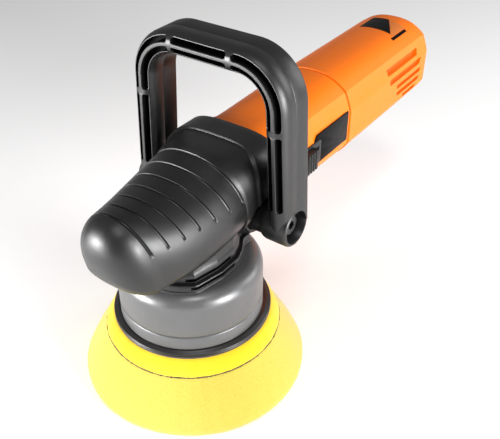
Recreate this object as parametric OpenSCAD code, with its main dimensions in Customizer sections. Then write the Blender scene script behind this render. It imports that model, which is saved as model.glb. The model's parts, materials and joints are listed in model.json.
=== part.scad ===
// Dual-action polisher: a spindle head, an in-line motor body, a hand-hole handle,
// a round shroud over an eccentric drive, and a foam pad on a round plate.
// The origin is on the spindle axis in the plane of the pad's working face.
// The nose points to -Y and the motor body runs to +Y.

/* [Body] */
// Height of the motor axis above the pad's working face
axis_z = 145; // [143:0.5:147]
// Half width of the motor housing between its flat sides, at its rear end
body_half = 35.5; // [35:0.25:36.5]
// Half width of the motor housing across its rounded corners, at its rear end
body_corner = 39; // [38.5:0.25:40]
// How much slimmer the motor housing is at its front end
body_taper = 3.5; // [2:0.25:4]
// Wall of the orange housings
wall = 3; // [2.5:0.25:3.25]
// Where the motor housing meets the rear sleeve
seam_y = 159; // [158:0.5:161]
// Rear end of the body
rear_y = 312; // [306:1:318]

/* [Head] */
// Length of the nose's blunt end, in front of the foremost grip groove
nose_end = 21; // [18:0.5:24]
// Half width of the nose cover at its rearmost grip groove
nose_half = 38.7; // [38:0.1:40]
// How far the grip grooves lean forward, in degrees
groove_lean = 13; // [11:0.5:14]
// Half width of the black collar behind the head
collar_half = 42; // [41.5:0.25:43]
// Rear edge of the black collar
collar_y = 54; // [53.5:0.25:54.5]

/* [Handle] */
// Half width over the handle's legs at the bolts
handle_half = 64.7; // [63:0.1:66]
// Lean of each leg towards the middle, in degrees
leg_lean = 2.75; // [1:0.25:6]
// Top of the handle above the pad's working face
handle_top = 249.5; // [245:0.5:255]
// Thickness of the legs and the top bar, seen from the front
leg_thick = 16.5; // [16:0.25:18]
// Width of the legs along the body
leg_depth = 29; // [27:0.5:30]
// Bolt axis behind the spindle
bolt_y = 35.6; // [35:0.1:36]
// Bolt axis above the pad's working face
bolt_z = 130; // [129.5:0.25:130.5]
// How far the handle tilts each way, in degrees
handle_tilt = 35; // [0:5:35]

/* [Shroud] */
// Outer radius of the shroud
shroud_r = 51.5; // [51:0.25:53]
// Lower rim of the shroud
shroud_z = 59.7; // [59.5:0.1:60]
// Top of the shroud
shroud_top = 103; // [103:0.1:103]

/* [Gears] */
// Teeth on the crown gear
crown_teeth = 40; // [40]
// Teeth on the pinion
pinion_teeth = 10; // [10]
// Gear module at the outer ends of the teeth
gear_module = 1.25; // [1.2:0.01:1.25]

/* [Orbit] */
// Distance between the spindle axis and the plate axis
orbit_r = 4; // [3:0.5:4.5]
// Direction of the plate axis from the spindle axis at rest, in degrees
orbit_angle = 125; // [0:5:355]

/* [Pad] */
// Radius of the foam near its working face
pad_r = 83; // [80:0.5:85]
// Radius where the two foam layers are glued
glue_r = 64; // [62:0.5:66]
// Height of the glue line
glue_z = 41; // [39:0.5:42]
// Radius of the backing plate
plate_r = 57.6; // [57:0.1:59]

/* [Hidden] */
$fn = 96;

run = 0.05;             // radial clearance of a running fit

// Plate axis at rest
plate_x = orbit_r * cos(orbit_angle);
plate_y = orbit_r * sin(orbit_angle);

// Heights of the eccentric drive, from the pad up
pad_top = 52.5;
plate_z = 53.7;
plate_top = 58.2;
hub_z = 57;
hub_top = 64;
lower_race_z = 66.5;    // underside of the lower plate bearing
web_z = 84.5;
web_top = 91;

// Bearings: [bore radius, outer radius, width]
plate_bearing = [6, 14, 8];
spindle_bearing = [7.5, 17.5, 11];
front_bearing = [5, 13, 8];
rear_bearing = [4, 11, 7];
spindle_bearing_z = 105;
front_bearing_y = 29;
rear_bearing_y = 160;

// Gears: pitch radii at the outer ends, and where the pitch cones meet
crown_r = gear_module * crown_teeth / 2;
pinion_r = gear_module * pinion_teeth / 2;
tooth_inner = 0.66;     // inner end of a tooth, as a share of the cone distance
tooth_slack = 0.14;     // taken off each flank so that the gears run free
pinion_seat_r = 2.4;

// Head casting
flange_y = 46;
flange_half = 36;
flange_corner = 38;
barrel_r = 31;
drive_r = 25.5;         // outside of the tube round the armature's front bearing
head_screw_at = [20, 27];
retainer_at = 29.25;

// Motor
stator_r = 28.5;
stator_bore = 17.1;
core_r = 16.5;
core_y = 84;
core_len = 46;
shaft_r = 5;
fan_y = 58;
commutator_y = 143;
brush_y = 150;

// Handle
boss_r = 14.5;
boss_floor = 50;        // floor of the bolt's counterbore
spigot_x = 28.4;        // inner end of the handle's spigot
spigot_r = 12.2;
socket_x = 28;          // face of the head casting that the spigot turns on
corner_r = 36;
groove_y = 13.5;        // the rearmost grip groove's centre behind the spindle
head_sides = 28;        // sides of the faceted skin of the head, a multiple of four
neck_top = 124;         // top of the plinth under the head
slot_deep = 7;

// Slide switch and dial
switch_y = 97;
switch_z = 143;
switch_travel = 6;
dial_y = 262;
dial_z = 121;

// Posts under the chassis
post_x = 12;
post_y = 283;
side_vents = [[14, 5.6, 225, 283], [4.2, 5.6, 229, 289], [-4.4, 3.8, 244, 290],
    [-11.3, 3.6, 245, 288], [-17.2, 3, 258, 282]];  // z from the axis, height, y from, y to

// ---------- shared shapes ----------

// Points of an arc about (cx, cy)
function arc(cx, cy, r, from, to, n = 8) =
    [for (i = [0:n]) let(a = from + (to - from) * i / n) [cx + r * cos(a), cy + r * sin(a)]];

// Turn a shape drawn up +Z so that it runs along +Y from y
module along_y(y, z = axis_z) {
    translate([0, y, z]) rotate([-90, 0, 0]) children();
}

// Turn a shape drawn up +Z so that it runs along +X from x
module along_x(x, y, z) {
    translate([x, y, z]) rotate([0, 90, 0]) children();
}

// Both hands of a shape
module both_sides() {
    children();
    mirror([1, 0, 0]) children();
}

// A shape about the plate axis
module on_plate_axis() {
    translate([plate_x, plate_y, 0]) children();
}

// Body section: a circle with flats at the sides and at the top and bottom
module section(half, tall, corner) {
    intersection() {
        circle(corner);
        square([2 * half, 2 * tall], center = true);
    }
}

// A length of body section along Y
module body_block(y0, y1, half, tall, corner) {
    along_y(y0) linear_extrude(y1 - y0) section(half, tall, corner);
}

// A plain ring up +Z
module ring(r_out, r_in, z0, z1) {
    translate([0, 0, z0]) linear_extrude(z1 - z0) difference() {
        circle(r_out);
        circle(r_in);
    }
}

// The two rings of a ball bearing, drawn up +Z from z = 0
module race_outer(b) {
    ring(b[1], b[0] + 0.66 * (b[1] - b[0]), 0, b[2]);
}
module race_inner(b) {
    ring(b[0] + 0.33 * (b[1] - b[0]), b[0], 0, b[2]);
}

// An open circlip up +Z
module circlip(r_out, r_in, z, thick, gap) {
    translate([0, 0, z]) linear_extrude(thick) difference() {
        circle(r_out);
        circle(r_in);
        translate([0, -gap / 2]) square([r_out + 1, gap]);
    }
}

// A socket-head screw up +Z with its head at the bottom
module socket_screw(shank_r, head_r, head_len, length, key) {
    difference() {
        union() {
            cylinder(r = head_r, h = head_len);
            cylinder(r = shank_r, h = head_len + length);
        }
        translate([0, 0, -1]) cylinder(r = key, h = 1 + 0.6 * head_len, $fn = 6);
    }
}

// ---------- head ----------

// A closed skin through rings of points, all with the same number of points
module loft(rings) {
    n = len(rings[0]);
    last = len(rings) - 1;
    polyhedron([for (r = rings) for (p = r) p], concat(
        [[for (i = [0:n - 1]) i], [for (i = [n - 1:-1:0]) last * n + i]],
        [for (k = [0:last - 1]) for (i = [0:n - 1]) let(j = (i + 1) % n)
            each [[k * n + i, (k + 1) * n + j, k * n + j],
                  [k * n + i, (k + 1) * n + i, (k + 1) * n + j]]]));
}

// A rounded section of the head: half width, height above and below the widest level,
// roundness above and below, centre [y, z], and how far its plane leans forward
function head_ring(w, up, down, n_up, n_down, y, z, lean) =
    [for (a = [0:360 / head_sides:359]) let(
        n = sin(a) > 0 ? n_up : n_down,
        x = w * sign(cos(a)) * pow(abs(cos(a)), 2 / n),
        v = (sin(a) > 0 ? up : down) * sign(sin(a)) * pow(abs(sin(a)), 2 / n))
        [x, y - v * sin(lean), z + v * cos(lean)]];

// The nose in steps of one grip groove: i is 0 at the rearmost groove and 6 at the foremost
function nose_s(i) = 13.2 * i - 0.2 * i * i;
function nose_ring(i, grow) = head_ring(
    nose_half + 0.96 * i - 0.44 * i * i + grow,
    35.5 - 1.25 * i + 0.5 * i * i + grow,
    38 - 4.3 * i + grow, 2.2, 1.8 + 0.1 * i,
    groove_y - nose_s(i) * cos(groove_lean), axis_z - nose_s(i) * sin(groove_lean), groove_lean);

// The blunt end: the foremost section drawn in towards a point ahead of its middle
function nose_end_ring(t, grow) = let(
    edge = nose_ring(6, grow),
    middle = (edge[head_sides / 4] + edge[3 * head_sides / 4]) / 2,
    shrink = pow(cos(t), 0.8))
    [for (p = edge) middle + (p - middle) * shrink + [0, -(nose_end + grow) * sin(t), -3 * sin(t)]];

// Section of the head a distance s behind the rearmost groove
function collar_ring(s, grow) = let(
    k = min(1, s / 20),
    lip = s > 21 ? 1 : 0)
    head_ring(nose_half + (collar_half - nose_half - 1) * k + lip + grow,
        35.5 - k + lip + grow, 38 - 2 * k + grow, 2.2 + 1.6 * k,
        1.8 + 2 * min(1, s / 30), groove_y + s, axis_z, groove_lean * (1 - k));

// Rings of the head's skin from the front to the rear edge, grown by an amount
function head_rings(grow) = concat(
    [for (t = [80:-20:20]) nose_end_ring(t, grow)],
    [for (i = [6:-1:0]) nose_ring(i, grow)],
    [for (s = [10, 20, 22, collar_y - groove_y]) collar_ring(s, grow)]);

// Plan of the plinth under the head, grown by an amount
module neck_plan(grow) {
    intersection() {
        circle(54 + grow);
        translate([-35.5 - grow, -46 - grow]) square([71 + 2 * grow, 82 + 2 * grow]);
    }
}

module nose_cover() {
    outer = head_rings(0);
    inner = head_rings(-3);
    color([0.1, 0.1, 0.1]) difference() {
        loft(concat(outer, [for (k = [len(inner) - 1:-1:0]) inner[k]]));
        // open underside for the neck, and pockets round the handle's sockets
        translate([0, 0, 60]) linear_extrude(neck_top - 60) neck_plan(0.1);
        translate([0, 0, 60]) cylinder(r = barrel_r + 0.1, h = 72);
        both_sides() along_x(24, bolt_y, bolt_z) cylinder(r = 15.4, h = 40);
    }
}

module neck_cover() {
    color([0.08, 0.08, 0.08]) difference() {
        union() {
            ring(47, 36, shroud_top, shroud_top + 2.6);
            translate([0, 0, shroud_top]) cylinder(r = 44, h = 5.4);
            translate([0, 0, shroud_top + 3]) linear_extrude(neck_top - shroud_top - 3.1)
                neck_plan(0);
        }
        translate([0, 0, shroud_top - 1]) cylinder(r = barrel_r + 0.05, h = 40);
        translate([0, 0, shroud_top - 1]) cylinder(r = 36, h = 7);
        along_y(-40) cylinder(r = 25.6, h = 80);
        along_x(-60, bolt_y, bolt_z) cylinder(r = 15.4, h = 120);
        // two long air slots on each side
        both_sides() for (z = [4.1, 8.1])
            translate([33, -41, shroud_top + z]) cube([12, 44, 1.8]);
    }
}

// The four screws between the head casting and the motor housing, along Y from y
module at_head_screws(y) {
    for (s = [-1, 1]) for (t = [-1, 1])
        along_y(y) translate([s * head_screw_at[0], t * head_screw_at[1], 0]) children();
}

module gear_housing() {
    color([0.62, 0.63, 0.64]) difference() {
        union() {
            translate([0, 0, 109]) cylinder(r = barrel_r, h = axis_z - 109);
            translate([0, 0, axis_z]) intersection() {
                sphere(barrel_r);
                cylinder(r = barrel_r, h = 24);
            }
            along_y(0) cylinder(r = drive_r, h = flange_y);
            body_block(flange_y, collar_y, flange_half, flange_half - 5, flange_corner);
            both_sides() along_x(6, bolt_y, bolt_z) cylinder(r = 14, h = socket_x - 8);
        }
        // gear chamber, pinion bore, bearing seats
        translate([0, 0, 100]) cylinder(r = 27.5, h = 50);
        cylinder(r = 8, h = 163);
        along_y(0) cylinder(r = 10, h = 40);
        along_y(front_bearing_y) cylinder(r = front_bearing[1], h = 30);
        along_y(front_bearing_y + front_bearing[2] + 1) cylinder(r = drive_r - 3, h = 30);
        both_sides() along_x(socket_x - 2, bolt_y, bolt_z) cylinder(r = 15.4, h = 30);
        both_sides() along_x(14.5, bolt_y, bolt_z) cylinder(r = 4, h = 20);
        for (a = [45:90:315])
            rotate([0, 0, a]) translate([retainer_at, 0, 100]) cylinder(r = 1.5, h = 22, $fn = 24);
        at_head_screws(flange_y - 1) cylinder(r = 2.2, h = 12, $fn = 24);
        at_head_screws(flange_y - 16) cylinder(r = 3.9, h = 16, $fn = 24);
    }
}

module handle_sockets() {
    color([0.07, 0.07, 0.07]) both_sides() along_x(socket_x - 2, bolt_y, bolt_z)
        ring(15, 8, 0, 2);
    color([0.07, 0.07, 0.07]) both_sides() along_x(socket_x, bolt_y, bolt_z)
        ring(15, 12.6, 0, 3);
}

module retainer_plate() {
    color([0.6, 0.61, 0.62]) difference() {
        union() {
            ring(35.8, 14.5, shroud_top, spindle_bearing_z);
            ring(35.8, spindle_bearing[1], spindle_bearing_z, 108.9);
            ring(22, spindle_bearing[1], 108, 116);
        }
        for (a = [45:90:315]) rotate([0, 0, a]) {
            translate([retainer_at, 0, 100]) cylinder(r = 1.6, h = 20, $fn = 24);
            translate([retainer_at, 0, 100]) cylinder(r = 2.9, h = 5.2, $fn = 24);
        }
        for (a = [0:90:270]) rotate([0, 0, a])
            translate([26, 0, 100]) cylinder(r = 1.6, h = 12, $fn = 24);
    }
}

module retainer_screws() {
    color([0.45, 0.45, 0.47]) for (a = [45:90:315]) rotate([0, 0, a])
        translate([retainer_at, 0, shroud_top + 0.1])
            socket_screw(1.5, 2.7, 2.1, 14, 1.3, $fn = 24);
}

// ---------- shroud ----------

module shroud() {
    color([0.5, 0.5, 0.5]) difference() {
        rotate_extrude() polygon(concat(
            [[shroud_r, shroud_z + 11]], arc(shroud_r - 9, shroud_top - 9, 9, 0, 90, 8),
            [[16, shroud_top], [16, shroud_top - 3]],
            arc(shroud_r - 9, shroud_top - 9, 6, 90, 0, 6),
            [[shroud_r - 3, shroud_z + 11]]));
        for (a = [0:90:270]) rotate([0, 0, a])
            translate([26, 0, 90]) cylinder(r = 1.8, h = 20, $fn = 24);
    }
}

module shroud_ring() {
    color([0.47, 0.47, 0.47]) rotate_extrude() polygon([
        [shroud_r - 3.6, shroud_z], [shroud_r - 0.5, shroud_z], [shroud_r, shroud_z + 0.6],
        [shroud_r, shroud_z + 10], [shroud_r - 0.6, shroud_z + 10.6],
        [shroud_r - 0.6, shroud_z + 11], [shroud_r - 3, shroud_z + 11],
        [shroud_r - 3, shroud_z + 14], [shroud_r - 5, shroud_z + 14],
        [shroud_r - 5, shroud_z + 9], [shroud_r - 3.6, shroud_z + 8]]);
}

module shroud_screws() {
    color([0.45, 0.45, 0.47]) for (a = [0:90:270]) rotate([0, 0, a])
        translate([26, 0, shroud_top - 5]) socket_screw(1.6, 3, 2, 8.5, 1.4, $fn = 24);
}

// ---------- spindle and bearings ----------

module spindle() {
    color([0.7, 0.71, 0.72]) difference() {
        union() {
            translate([0, 0, web_top - 3]) cylinder(r = 7, h = 20);
            translate([0, 0, 103]) cylinder(r = spindle_bearing[0], h = 35.5);
            translate([0, 0, 138]) cylinder(r = 6, h = 24);
        }
        ring(10, 6.9, 136.8, 137.9);
    }
}

module spindle_bearing_outer() {
    color([0.75, 0.75, 0.77]) translate([0, 0, spindle_bearing_z]) race_outer(spindle_bearing);
}
module spindle_bearing_inner() {
    color([0.75, 0.75, 0.77]) translate([0, 0, spindle_bearing_z]) race_inner(spindle_bearing);
}
module upper_bush() {
    color([0.75, 0.6, 0.35]) ring(8, 6 + run, 150.5, 162);
}
module crown_circlip() {
    color([0.3, 0.3, 0.32]) circlip(9.6, 7, 136.9, 0.9, 3);
}

// Half widths of a gear tooth at its root, pitch line and tip, with the height of each
function tooth_steps(root_wide) = [[0.25 * PI + root_wide, -1.5], [0.25 * PI, 0], [0.25 * PI - 0.36, 0.9]];

// One straight bevel tooth. Its outer end lies in the plane x = 0 with the pitch line at
// the origin, and it points up. The apex is where every edge of the tooth would meet.
module bevel_tooth(steps, apex) {
    right = [for (p = steps) [0, p[0] * gear_module - tooth_slack, p[1] * gear_module]];
    left = [for (i = [2:-1:0]) [0, -right[i][1], right[i][2]]];
    outer = concat(right, left);
    inner = [for (p = outer) apex + tooth_inner * (p - apex)];
    polyhedron(concat(outer, inner), concat(
        [[5, 4, 3, 2, 1, 0], [6, 7, 8, 9, 10, 11]],
        [for (i = [0:5]) [i, (i + 1) % 6, (i + 1) % 6 + 6, i + 6]]));
}

module crown_gear() {
    pitch_z = axis_z - pinion_r;
    root = 1.1 * gear_module;
    color([0.55, 0.56, 0.58]) union() {
        difference() {
            rotate_extrude() polygon([
                [spindle_bearing[0], 116.3], [12, 116.3], [12, 128], [24, 130],
                [26, 132], [26, pitch_z - root - 0.2], [crown_r, pitch_z - root],
                [crown_r * tooth_inner, pitch_z - root * tooth_inner + pinion_r * (1 - tooth_inner)],
                [15, 136.5], [spindle_bearing[0], 136.5]]);
            for (a = [0:60:300]) rotate([0, 0, a])
                translate([18.5, 0, 120]) cylinder(r = 2.4, h = 11, $fn = 24);
        }
        for (i = [0:crown_teeth - 1])
            rotate([0, 0, 90 + (i + 0.5) * 360 / crown_teeth]) translate([crown_r, 0, pitch_z])
                bevel_tooth(tooth_steps(0.42), [-crown_r, 0, pinion_r]);
    }
}

module counterweight() {
    color([0.42, 0.43, 0.45]) difference() {
        union() {
            on_plate_axis() translate([0, 0, 64.5]) cylinder(r = 18.5, h = web_z + 1 - 64.5);
            translate([0, 0, web_z]) cylinder(r = 24, h = web_top - web_z);
            translate([0, 0, web_top - 0.5]) cylinder(r = 10, h = spindle_bearing_z - web_top + 0.5);
            rotate([0, 0, orbit_angle + 180]) intersection() {
                rotate_extrude() polygon([
                    [20, 68], [42, 68], [43, 69], [43, 90], [42, web_top - 0.4], [20, web_top - 0.4]]);
                translate([6, -50, 60]) cube([50, 100, 40]);
            }
        }
        on_plate_axis() {
            translate([0, 0, 60]) cylinder(r = plate_bearing[1], h = lower_race_z + 16 - 60);
            cylinder(r = 11.6, h = 87);
            ring(15, 10, 65.2, 66.4);
        }
        translate([0, 0, 86]) cylinder(r = 7, h = 60);
        translate([0, 0, 103]) cylinder(r = spindle_bearing[0], h = 10);
        // balance holes
        for (a = [-50:25:50]) rotate([0, 0, orbit_angle + 180 + a])
            translate([34, 0, 66]) cylinder(r = 3, h = 8, $fn = 24);
    }
}

module plate_bearing_outer() {
    color([0.75, 0.75, 0.77]) on_plate_axis() for (k = [0, 1])
        translate([0, 0, lower_race_z + k * plate_bearing[2]]) race_outer(plate_bearing);
}
module plate_bearing_inner() {
    color([0.75, 0.75, 0.77]) on_plate_axis() for (k = [0, 1])
        translate([0, 0, lower_race_z + k * plate_bearing[2]]) race_inner(plate_bearing);
}
module bearing_circlip() {
    color([0.3, 0.3, 0.32]) on_plate_axis() rotate([0, 0, 200])
        circlip(14.9, 12.4, 65.3, 1, 6);
}

// ---------- plate and pad ----------

module plate_spindle() {
    color([0.7, 0.71, 0.72]) on_plate_axis() difference() {
        union() {
            translate([0, 0, hub_top]) cylinder(r = 9, h = lower_race_z - hub_top);
            translate([0, 0, lower_race_z]) cylinder(r = plate_bearing[0], h = 19);
        }
        translate([0, 0, hub_top - 1]) cylinder(r = 4, h = 18);
        ring(8, 5.4, lower_race_z + 16.1, lower_race_z + 17.2);
    }
}
module plate_circlip() {
    color([0.3, 0.3, 0.32]) on_plate_axis()
        circlip(7.6, 5.45, lower_race_z + 16.15, 1, 2.5);
}
module plate_hub() {
    color([0.6, 0.6, 0.62]) on_plate_axis() difference() {
        union() {
            translate([0, 0, hub_z]) cylinder(r = 20, h = 3);
            translate([0, 0, hub_z]) cylinder(r = 12.5, h = hub_top - hub_z);
        }
        translate([0, 0, hub_z - 1]) cylinder(r = 4.1, h = 12);
        for (a = [0:60:300]) rotate([0, 0, a])
            translate([16.5, 0, hub_z - 1]) cylinder(r = 1.5, h = 6, $fn = 24);
    }
}
module plate_screw() {
    color([0.35, 0.35, 0.37]) on_plate_axis()
        translate([0, 0, plate_z + 0.1]) socket_screw(4, 6.5, hub_z - plate_z - 0.1, 20, 2.6);
}
module backing_plate() {
    color([0.1, 0.1, 0.1]) on_plate_axis() difference() {
        rotate_extrude() polygon([
            [8, plate_z], [plate_r - 1.2, plate_z], [plate_r, plate_z + 0.8],
            [plate_r, plate_z + 2], [plate_r - 0.8, plate_z + 2.8], [plate_r - 3.5, plate_top],
            [26, plate_top], [24, hub_z + 3.2], [20, hub_z + 3.2], [20, hub_z], [8, hub_z]]);
        for (a = [0:45:315]) rotate([0, 0, a])
            translate([38, 0, plate_z - 1]) cylinder(r = 3.5, h = 10, $fn = 32);
    }
}
module pad_loop_layer() {
    color([0.2, 0.2, 0.2]) on_plate_axis() ring(57, 9, pad_top, plate_z);
}
module pad_upper() {
    color([1, 0.88, 0.1]) on_plate_axis() rotate_extrude() polygon(concat(
        [[9, glue_z + 0.8], [glue_r, glue_z + 0.8]],
        arc(glue_r - 5.6, pad_top - 4, 4, 30, 90, 5), [[9, pad_top]]));
}
module pad_glue() {
    color([0.25, 0.22, 0.1]) on_plate_axis() ring(glue_r, 9, glue_z, glue_z + 0.8);
}
module pad_foam() {
    color([0.93, 0.85, 0.42]) on_plate_axis() rotate_extrude() polygon(concat(
        [[0, 0]], arc(pad_r - 5, 5, 5, -90, 12, 8), [[glue_r, glue_z], [9, glue_z], [9, 8], [0, 8]]));
}

// ---------- handle ----------

// Outline of the handle seen from the front, x across and y up, without its end bosses.
// Both corners keep their centres, so an inset outline runs parallel to the outer one.
module handle_outline(inset) {
    r = corner_r - inset;
    foot = handle_half - inset / cos(leg_lean);
    corner_x = handle_half - (corner_r + (handle_top - corner_r - bolt_z) * sin(leg_lean)) / cos(leg_lean);
    polygon(concat([[foot, bolt_z]],
        arc(corner_x, handle_top - corner_r, r, leg_lean, 90, 16),
        arc(-corner_x, handle_top - corner_r, r, 90, 180 - leg_lean, 16), [[-foot, bolt_z]]));
}

// The band between two insets of the outline
module handle_band(outer, inner) {
    difference() {
        handle_outline(outer);
        translate([0, -0.01]) handle_outline(inner);
    }
}

module d_handle() {
    color([0.12, 0.12, 0.12]) difference() {
        union() {
            translate([0, bolt_y + leg_depth / 2, 0]) rotate([90, 0, 0])
                linear_extrude(leg_depth) handle_band(0, leg_thick);
            both_sides() along_x(spigot_x, bolt_y, bolt_z) {
                cylinder(r = spigot_r, h = handle_half - spigot_x);
                translate([0, 0, handle_half - leg_thick - spigot_x - 4])
                    cylinder(r = boss_r, h = leg_thick + 4);
            }
        }
        // two rows of core slots in the front face, with cross ribs left between them
        translate([0, bolt_y - leg_depth / 2 + slot_deep, 0]) rotate([90, 0, 0])
            linear_extrude(slot_deep + 1) difference() {
                handle_band(2.6, leg_thick - 3);
                handle_band(7.2, 8.8);
                for (x = [-26, 20]) translate([x - 1.5, 210]) square([3, 60]);
                translate([-80, 201]) square([160, 3]);
                translate([-80, 100]) square([160, 47]);
            }
        both_sides() {
            along_x(boss_floor, bolt_y, bolt_z) cylinder(r = 11.8, h = 30);
            along_x(20, bolt_y, bolt_z) cylinder(r = 4 + run, h = 60);
        }
    }
}
module handle_bolts() {
    color([0.3, 0.3, 0.32]) both_sides() translate([60.2, bolt_y, bolt_z]) rotate([0, -90, 0])
        socket_screw(4, 6.5, 8, 60.2 - 8 - 15, 3.4);
}
module handle_washers() {
    color([0.6, 0.6, 0.62]) both_sides() along_x(boss_floor + 0.1, bolt_y, bolt_z)
        ring(9, 4, 0, 60.2 - 8 - boss_floor - 0.1);
}

// ---------- motor ----------

// Inside of the motor housing behind the fan
module motor_space() {
    body_block(fan_y + 16, seam_y + 20, body_half - wall, body_half - body_taper - wall,
               body_corner - 1.5 - wall);
}

module motor_housing() {
    color([1, 0.45, 0.02]) difference() {
        union() {
            body_block(collar_y, collar_y + 9, flange_half + 1, flange_half - 2, flange_corner + 1);
            hull() {
                body_block(collar_y, collar_y + 30, body_half, body_half - body_taper,
                           body_corner - 1.5);
                body_block(seam_y - 8, seam_y - 1, body_half, body_half, body_corner);
            }
            body_block(seam_y - 4, seam_y + 8, body_half - 1, body_half - 1, body_corner - 1.2);
        }
        difference() {
            motor_space();
            // spider that carries the rear armature bearing
            intersection() {
                along_y(158) union() {
                    linear_extrude(3) for (a = [45, 135]) rotate(a)
                        square([80, 5], center = true);
                    linear_extrude(9.5) circle(15.5);
                }
                body_block(50, seam_y + 20, body_half - 1, body_half - 1, body_corner - 1.5);
            }
            // ribs that hold the stator
            intersection() {
                for (a = [45, 135]) along_y(core_y) rotate([0, 0, a])
                    linear_extrude(core_len) square([80, 6], center = true);
                body_block(50, seam_y, body_half - 1, body_half - 4, body_corner - 2);
            }
        }
        along_y(50) cylinder(r = stator_r, h = 105);
        along_y(rear_bearing_y - 1) cylinder(r = rear_bearing[1] + 1.5, h = 20);
        along_y(150) cylinder(r = 9, h = 20);
        at_head_screws(collar_y - 1) cylinder(r = 2, h = 9, $fn = 24);
        // window for the slide switch, and a channel for its rod
        translate([20, switch_y - 7, switch_z - 5]) cube([30, 14 + switch_travel, 10]);
        translate([30, switch_y - 17, switch_z - 2]) cube([3.6, 100, 4]);
    }
}

module head_screws() {
    color([0.4, 0.4, 0.42]) at_head_screws(flange_y - 3)
        socket_screw(2, 3.6, 3, 15, 1.8, $fn = 24);
}

module stator_core() {
    color([0.5, 0.5, 0.52]) along_y(core_y) linear_extrude(core_len) difference() {
        circle(stator_r);
        circle(stator_bore);
        // two pockets for the field windings
        for (s = [-1, 1]) for (t = [-1, 1]) translate([s * 19.6, t * 11.4]) circle(4.6, $fn = 32);
    }
}

// Field windings: a copper loop round each pole, above and below the armature
module field_windings() {
    color([0.72, 0.4, 0.2]) for (t = [-1, 1]) {
        for (s = [-1, 1]) along_y(core_y - 8, axis_z + t * 11.4)
            translate([s * 19.6, 0, 0]) cylinder(r = 4.4, h = core_len + 16, $fn = 32);
        for (y = [core_y - 8, core_y + core_len + 3]) along_y(y) linear_extrude(5)
            intersection() {
                difference() {
                    circle(27);
                    circle(19.5);
                }
                translate([-22, t < 0 ? 10 : -40]) square([44, 30]);
            }
    }
}

module fan_baffle() {
    color([0.15, 0.15, 0.15]) along_y(fan_y + 14) linear_extrude(2) difference() {
        circle(stator_r);
        circle(18);
    }
}

module brush_holders() {
    color([0.78, 0.62, 0.3]) both_sides() difference() {
        translate([13, brush_y - 5.2, axis_z - 4.2]) cube([15.9, 10.4, 8.4]);
        translate([12, brush_y - 4.05, axis_z - 3.05]) cube([20, 8.1, 6.1]);
    }
}
module carbon_brushes() {
    color([0.18, 0.18, 0.19]) both_sides() difference() {
        translate([10.5, brush_y - 4, axis_z - 3]) cube([13, 8, 6]);
        along_y(brush_y - 10) cylinder(r = 11 + 0.05, h = 20);
    }
}
module brush_springs() {
    color([0.7, 0.7, 0.72]) both_sides() for (i = [0:4])
        along_x(23.5 + i, brush_y, axis_z) ring(2.6, 1.7, 0, 1.1);
}

module armature_bearing_outer() {
    color([0.75, 0.75, 0.77]) {
        along_y(front_bearing_y) race_outer(front_bearing);
        along_y(rear_bearing_y) race_outer(rear_bearing);
    }
}
module armature_bearing_inner() {
    color([0.75, 0.75, 0.77]) {
        along_y(front_bearing_y) race_inner(front_bearing);
        along_y(rear_bearing_y) race_inner(rear_bearing);
    }
}
module bearing_damper() {
    color([0.1, 0.1, 0.1]) along_y(rear_bearing_y)
        ring(rear_bearing[1] + 1.5, rear_bearing[1], 0, rear_bearing[2]);
}

module armature_shaft() {
    color([0.7, 0.71, 0.72]) {
        along_y(16.6) cylinder(r = pinion_seat_r, h = 10.5);
        along_y(27) cylinder(r = front_bearing[0], h = 132.5);
        along_y(159) cylinder(r = rear_bearing[0], h = 9);
    }
}
module armature_core() {
    color([0.5, 0.5, 0.52]) along_y(core_y) linear_extrude(core_len) difference() {
        circle(core_r);
        circle(shaft_r);
        for (a = [0:30:330]) rotate(a) translate([core_r - 1, 0]) square([8, 1.6], center = true);
    }
}
module armature_windings() {
    color([0.72, 0.4, 0.2]) {
        for (a = [0:30:330]) along_y(core_y - 1) rotate([0, 0, a])
            translate([core_r - 4.9, -0.75, 0]) cube([4, 1.5, core_len + 2]);
        along_y(core_y - 8) ring(15, shaft_r, 0, 8);
        along_y(core_y + core_len) ring(15, shaft_r, 0, 8);
    }
}
module commutator() {
    color([0.75, 0.45, 0.25]) along_y(commutator_y) linear_extrude(14) difference() {
        circle(11);
        circle(shaft_r);
        for (a = [0:15:345]) rotate(a) translate([11, 0]) square([2.4, 0.5], center = true);
    }
}
module fan() {
    color([0.2, 0.2, 0.2]) along_y(fan_y) {
        ring(9, shaft_r, 0, 12);
        ring(26, 9, 0, 1.8);
        for (a = [0:30:330]) rotate([0, 0, a])
            translate([12, -0.8, 1.5]) cube([13.5, 1.6, 10]);
    }
}
module pinion() {
    root = 1.1 * gear_module;
    color([0.6, 0.6, 0.62]) difference() {
        union() {
            translate([0, 0, axis_z]) rotate([-90, 0, 0]) rotate_extrude() polygon([
                [0, crown_r * tooth_inner],
                [(pinion_r - root) * tooth_inner, crown_r * tooth_inner],
                [pinion_r - root, crown_r], [pinion_r + 0.9, crown_r + 0.2],
                [pinion_r + 0.9, crown_r + 1.8], [0, crown_r + 1.8]]);
            for (i = [0:pinion_teeth - 1])
                translate([0, 0, axis_z]) rotate([0, i * 360 / pinion_teeth, 0])
                    translate([0, crown_r, -pinion_r]) rotate([0, 180, 0]) rotate([0, 0, 90])
                        bevel_tooth(tooth_steps(0.1), [-crown_r, 0, -pinion_r]);
        }
        along_y(0) cylinder(r = pinion_seat_r, h = 40);
    }
}

// ---------- rear body ----------

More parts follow.
